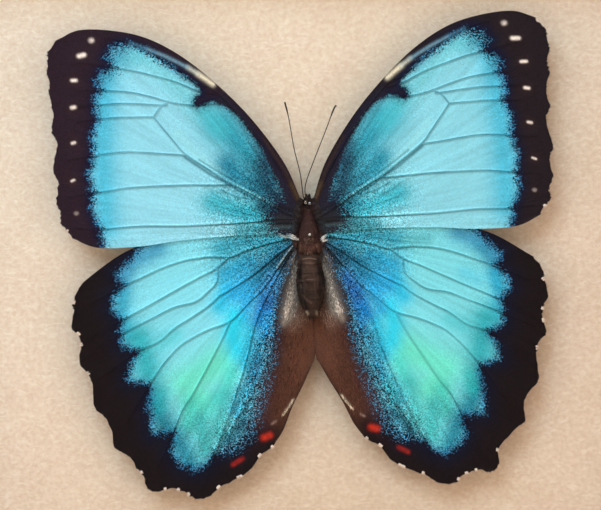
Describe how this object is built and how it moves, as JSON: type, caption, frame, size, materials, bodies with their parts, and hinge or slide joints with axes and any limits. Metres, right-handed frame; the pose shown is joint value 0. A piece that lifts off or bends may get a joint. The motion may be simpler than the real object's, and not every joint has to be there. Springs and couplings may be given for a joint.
{
  "type": "framed butterfly specimen",
  "caption": "Blue butterfly specimen, spread and pinned on a cream board in a glazed wooden shadow-box frame.",
  "frame": {"origin": "middle of the frame's back, on the surface that it lies on", "axes": "+Z out of the glass, +X along the frame's width and the wingspan, +Y up the frame, towards the butterfly's head"},
  "size_m": [0.206, 0.182, 0.038],
  "materials": {
    "frame_wood": "dark stained wood, satin lacquer",
    "glass": "clear float glass",
    "spacer_board": "matt card",
    "mounting_board": "mottled cream paper on foam board",
    "hardboard": "pressed hardboard, matt",
    "steel": "zinc-plated steel",
    "pin_steel": "polished steel",
    "insect_body": "dark brown, hairy",
    "insect_limb": "dark brown, slightly glossy",
    "forewing_scales": "satin blue scales with a black margin and white spots",
    "hindwing_scales": "satin blue-green scales with a black scalloped margin"
  },
  "bodies": {
    "root": {"frame_rail_top": "frame_wood", "frame_rail_bottom": "frame_wood", "frame_rail_left": "frame_wood", "frame_rail_right": "frame_wood", "glass_pane": "glass", "spacer_top": "spacer_board", "spacer_bottom": "spacer_board", "spacer_left": "spacer_board", "spacer_right": "spacer_board", "mounting_board": "mounting_board", "back_panel": "hardboard", "retaining_tab_top_a": "steel", "retaining_tab_top_b": "steel", "retaining_tab_bottom_a": "steel", "retaining_tab_bottom_b": "steel", "retaining_tab_left_a": "steel", "retaining_tab_left_b": "steel", "retaining_tab_right_a": "steel", "retaining_tab_right_b": "steel", "hanger": "steel", "hanger_rivet_left": "steel", "hanger_rivet_right": "steel", "pin": "pin_steel", "head": "insect_body", "thorax": "insect_body", "abdomen": "insect_body", "antenna_left": "insect_limb", "antenna_right": "insect_limb", "leg_mid_left": "insect_limb", "leg_mid_right": "insect_limb", "leg_hind_left": "insect_limb", "leg_hind_right": "insect_limb", "forewing_left": "forewing_scales", "forewing_right": "forewing_scales", "hindwing_left": "hindwing_scales", "hindwing_right": "hindwing_scales"}
  },
  "joints": []
}
